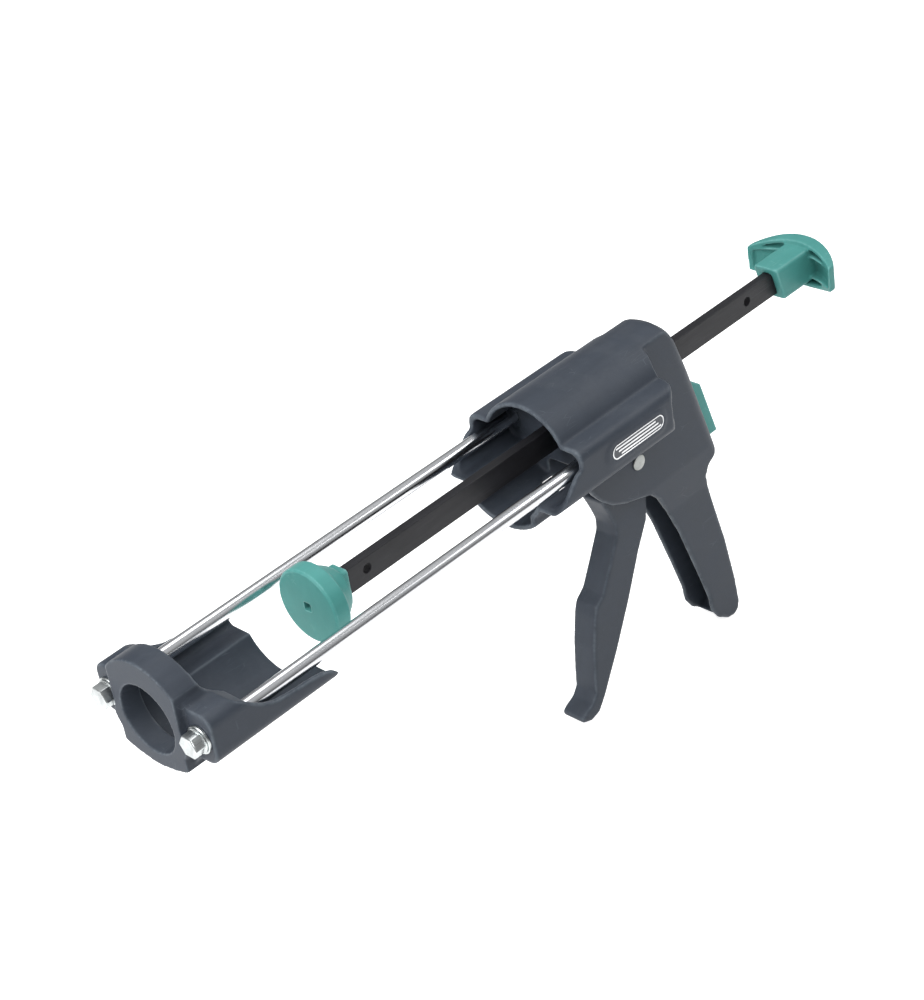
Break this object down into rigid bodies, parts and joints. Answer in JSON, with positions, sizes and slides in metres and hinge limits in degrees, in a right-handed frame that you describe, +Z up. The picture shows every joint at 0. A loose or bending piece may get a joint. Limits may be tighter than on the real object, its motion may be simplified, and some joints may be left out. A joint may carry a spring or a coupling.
{
  "type": "caulking gun",
  "caption": "Skeleton caulking gun: rails join a bored front cradle to a moulded pistol body with a squeeze trigger, release button and a flat push bar.",
  "frame": {"origin": "centre of the nozzle bore on the front face of the front frame", "axes": "+X forward along the cartridge and the push bar, +Y to the left of a person holding the gun, +Z up"},
  "size_m": [0.5137, 0.082, 0.221],
  "materials": {
    "body_plastic": "fine textured moulding",
    "teal_plastic": "smooth moulding",
    "zinc_plate": "bright zinc plating",
    "black_bar": "satin black coating",
    "plate_steel": "hardened steel",
    "spring_steel": "oiled spring wire",
    "badge_silver": "satin silver print"
  },
  "bodies": {
    "frame": {"front_frame": "body_plastic", "left_rail": "zinc_plate", "right_rail": "zinc_plate", "front_bolts": "zinc_plate", "front_washers": "zinc_plate", "rail_nuts": "zinc_plate", "body": "body_plastic", "badges": "badge_silver", "trigger_pin": "zinc_plate", "pin_cap": "zinc_plate", "drive_spring": "spring_steel", "brake_spring": "spring_steel"},
    "trigger": {"trigger": "body_plastic", "nose_pin": "plate_steel"},
    "drive": {"drive_plate": "plate_steel"},
    "brake": {"brake_plate": "plate_steel"},
    "button": {"release_button": "teal_plastic"},
    "rod": {"push_bar": "black_bar", "pusher_disc": "teal_plastic", "pusher_screw": "zinc_plate", "pull_handle": "teal_plastic", "handle_screw": "zinc_plate"}
  },
  "joints": [
    {"name": "trigger_pull", "type": "hinge", "parent": "frame", "child": "trigger", "pos_m": [-0.3323, 0, -0.039], "axis": [0, 1, 0], "range_deg": [0, 25], "stiffness_Nm_per_rad": 0.6, "springref_deg": -17.19},
    {"name": "drive_slide", "type": "slide", "parent": "frame", "child": "drive", "axis": [1, 0, 0], "range_m": [0, 0.0095], "deforming": ["drive_spring"]},
    {"name": "release_press", "type": "slide", "parent": "frame", "child": "button", "axis": [1, 0, 0], "range_m": [0, 0.004], "stiffness_N_per_m": 900, "springref_m": -0.003},
    {"name": "brake_tilt", "type": "hinge", "parent": "frame", "child": "brake", "pos_m": [-0.363, 0, 0.0175], "axis": [0, -1, 0], "range_deg": [0, 5.7], "deforming": ["brake_spring"]},
    {"name": "rod_slide", "type": "slide", "parent": "frame", "child": "rod", "axis": [1, 0, 0], "range_m": [-0.155, 0.085]}
  ],
  "couplings": [
    {"joint": "drive_slide", "follows": "trigger_pull", "m_per_rad": 0.0213},
    {"joint": "brake_tilt", "follows": "release_press", "rad_per_m": 24.39}
  ]
}
